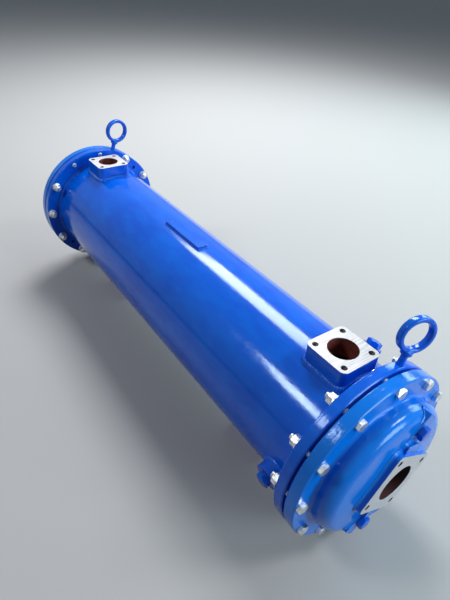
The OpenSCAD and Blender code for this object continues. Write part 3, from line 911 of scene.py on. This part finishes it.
def casting_fillets(end_name, end):
    """Fillets where the port block, the lands and the plugs' pads rise from the crown."""
    shape = Shape()

    def fillet(leg, *where):
        bead(shape, crown_path(end, *where), leg, convex=FILLET_HOLLOW, rough=0)

    port = rounded_outline(PORT_SIDE, PORT_SIDE, PORT_CORNER)
    land = rounded_outline(LAND_W, LAND_W, LAND_CORNER)
    turn = Matrix.Rotation(math.radians(-PAD_TURN), 4, "Z")
    pad = [(turn @ point, turn @ n) for point, n in rounded_outline(PAD_W, PAD_LEN, PAD_CORNER)]
    fillet(PORT_FILLET, PORT_TURN, port)
    for side in (0, 180):
        fillet(LAND_FILLET, LAND_TURN + side, land, LAND_REACH - LAND_W / 2)
        fillet(PAD_FILLET, VENT_TURN + side, pad, VENT_R, PAD_X - 1.2 * PAD_FILLET)
    material = nodes[f"bonnet_{end_name}"].data.materials[0]
    shape.piece(f"bonnet_fillets_{end_name}", material, "bonnet_paint", 60)


for end_name, end in ENDS.items():
    casting_fillets(end_name, end)


# Forged lifting eyes
def forged_eye(end_name):
    """The eye's ring, collar and shank flow into each other as a forging's do."""
    node = f"lifting_eye_{end_name}"
    mesh = nodes[node].data.copy()
    shank = nodes[node].matrix_world.inverted() @ radial_frame(middle(node).x, EYE_TURN)
    swing = Matrix.Rotation(math.radians(EYE_SWING[end_name]), 4, "Z")
    mesh.transform(shank @ swing @ shank.inverted())
    obj = bpy.data.objects.new(f"forged_{node}", mesh)
    bpy.context.scene.collection.objects.link(obj)
    remesh = obj.modifiers.new("remesh", "REMESH")
    remesh.mode = "VOXEL"
    remesh.voxel_size = EYE_VOXEL
    soften = obj.modifiers.new("soften", "SMOOTH")
    soften.factor = 0.5
    soften.iterations = EYE_SMOOTH_STEPS
    solved = obj.evaluated_get(bpy.context.evaluated_depsgraph_get())
    final = bpy.data.meshes.new_from_object(solved)
    obj.modifiers.clear()
    obj.data = final
    final.shade_smooth()
    final.materials.clear()
    final.materials.append(paint_fittings)
    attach(obj, "root")
    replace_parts(obj, node)


for end_name in ENDS:
    forged_eye(end_name)


# Floor, world, lights and camera
FLOOR_SIZE = 60
FLOOR_SEEN = (0.35, 0.35, 0.355)
FLOOR_LIT = (0.14, 0.14, 0.15)
SKY_SEEN = (0.42, 0.49, 0.53)
SKY_LIT = (0.60, 0.78, 1.0)
SKY_STRENGTH = 0.13
COOL = (0.80, 0.97, 1.0)
COOL_SIDE = (0.72, 0.98, 0.96)
SENSOR_WIDTH = 36
LENS = 28.23
VIEW_PLACE = (0.80189, -0.50285, 0.86295)
VIEW_RIGHT = Vector((0.57157, 0.81858, 0.05690))
VIEW_UP = Vector((-0.51681, 0.30526, 0.79983))
VIEW_BACK = Vector((0.63735, -0.48656, 0.59753))


def floor():
    """A plain floor, pale where it is seen and darker where it only throws light back."""
    bpy.ops.mesh.primitive_grid_add(x_subdivisions=8, y_subdivisions=8, size=FLOOR_SIZE, location=(0, 0, 0))
    obj = bpy.context.object
    obj.name = "floor"
    f = Finish("floor_pale")
    rays = f.add("ShaderNodeLightPath").outputs
    camera_ray, glossy_ray, transmission_ray = (rays[kind] for kind in SEEN_RAYS)
    seen = f.most(camera_ray, f.most(glossy_ray, transmission_ray))
    f.set(Base_Color=f.mix(seen, FLOOR_LIT, FLOOR_SEEN), Roughness=0.75)
    obj.data.materials.append(f.mat)


def world():
    """A pale background where it is seen, and a faint cool light on the object."""
    studio = bpy.data.worlds.new("studio")
    bpy.context.scene.world = studio
    studio.use_nodes = True
    tree = studio.node_tree
    tree.nodes.clear()
    out = tree.nodes.new("ShaderNodeOutputWorld")
    seen = tree.nodes.new("ShaderNodeBackground")
    lit = tree.nodes.new("ShaderNodeBackground")
    seen.inputs["Color"].default_value = (*SKY_SEEN, 1)
    lit.inputs["Color"].default_value = (*SKY_LIT, 1)
    lit.inputs["Strength"].default_value = SKY_STRENGTH
    rays = tree.nodes.new("ShaderNodeLightPath").outputs
    seen_ray = rays[SEEN_RAYS[0]]
    for kind in SEEN_RAYS[1:]:
        either = tree.nodes.new("ShaderNodeMath")
        either.operation = "MAXIMUM"
        tree.links.new(seen_ray, either.inputs[0])
        tree.links.new(rays[kind], either.inputs[1])
        seen_ray = either.outputs[0]
    swap = tree.nodes.new("ShaderNodeMixShader")
    tree.links.new(seen_ray, swap.inputs[0])
    tree.links.new(lit.outputs[0], swap.inputs[1])
    tree.links.new(seen.outputs[0], swap.inputs[2])
    tree.links.new(swap.outputs[0], out.inputs[0])


def area_light(name, spot, size, power, colour=(1, 1, 1), target=None):
    """A soft panel that faces the target, or straight down with its sides along X and Y."""
    lamp = bpy.data.lights.new(name, "AREA")
    lamp.shape = "RECTANGLE"
    lamp.size, lamp.size_y = size
    lamp.energy = power
    lamp.color = colour
    obj = bpy.data.objects.new(name, lamp)
    obj.location = spot
    if target:
        obj.rotation_euler = (Vector(target) - Vector(spot)).to_track_quat("-Z", "Y").to_euler()
    bpy.context.scene.collection.objects.link(obj)


def camera():
    """The photograph's viewing place, fitted to its bolts, holes and bores."""
    data = bpy.data.cameras.new("camera")
    data.sensor_width = SENSOR_WIDTH
    data.lens = LENS
    obj = bpy.data.objects.new("camera", data)
    m = Matrix((VIEW_RIGHT, VIEW_UP, VIEW_BACK)).transposed().to_4x4()
    m.translation = VIEW_PLACE
    obj.matrix_world = m
    bpy.context.scene.collection.objects.link(obj)
    bpy.context.scene.camera = obj


bpy.context.scene.view_settings.view_transform = "Standard"
floor()
world()
area_light("window_far", (-1.8, 1.35, 2.6), (1.75, 1.2), 132)
area_light("window_near", (-1.05, -2.2, 2.6), (0.7, 0.85), 58)
area_light("window_end", (1.75, 1.6, 2.6), (0.5, 1.3), 50)
area_light("side", (0.2, 3.2, 1.5), (2.6, 1.0), 56, COOL_SIDE, (0.1, 0, 0.2))
area_light("end", (3.0, 1.0, 1.2), (1.6, 1.2), 60, COOL, (0.4, 0, 0.2))
camera()
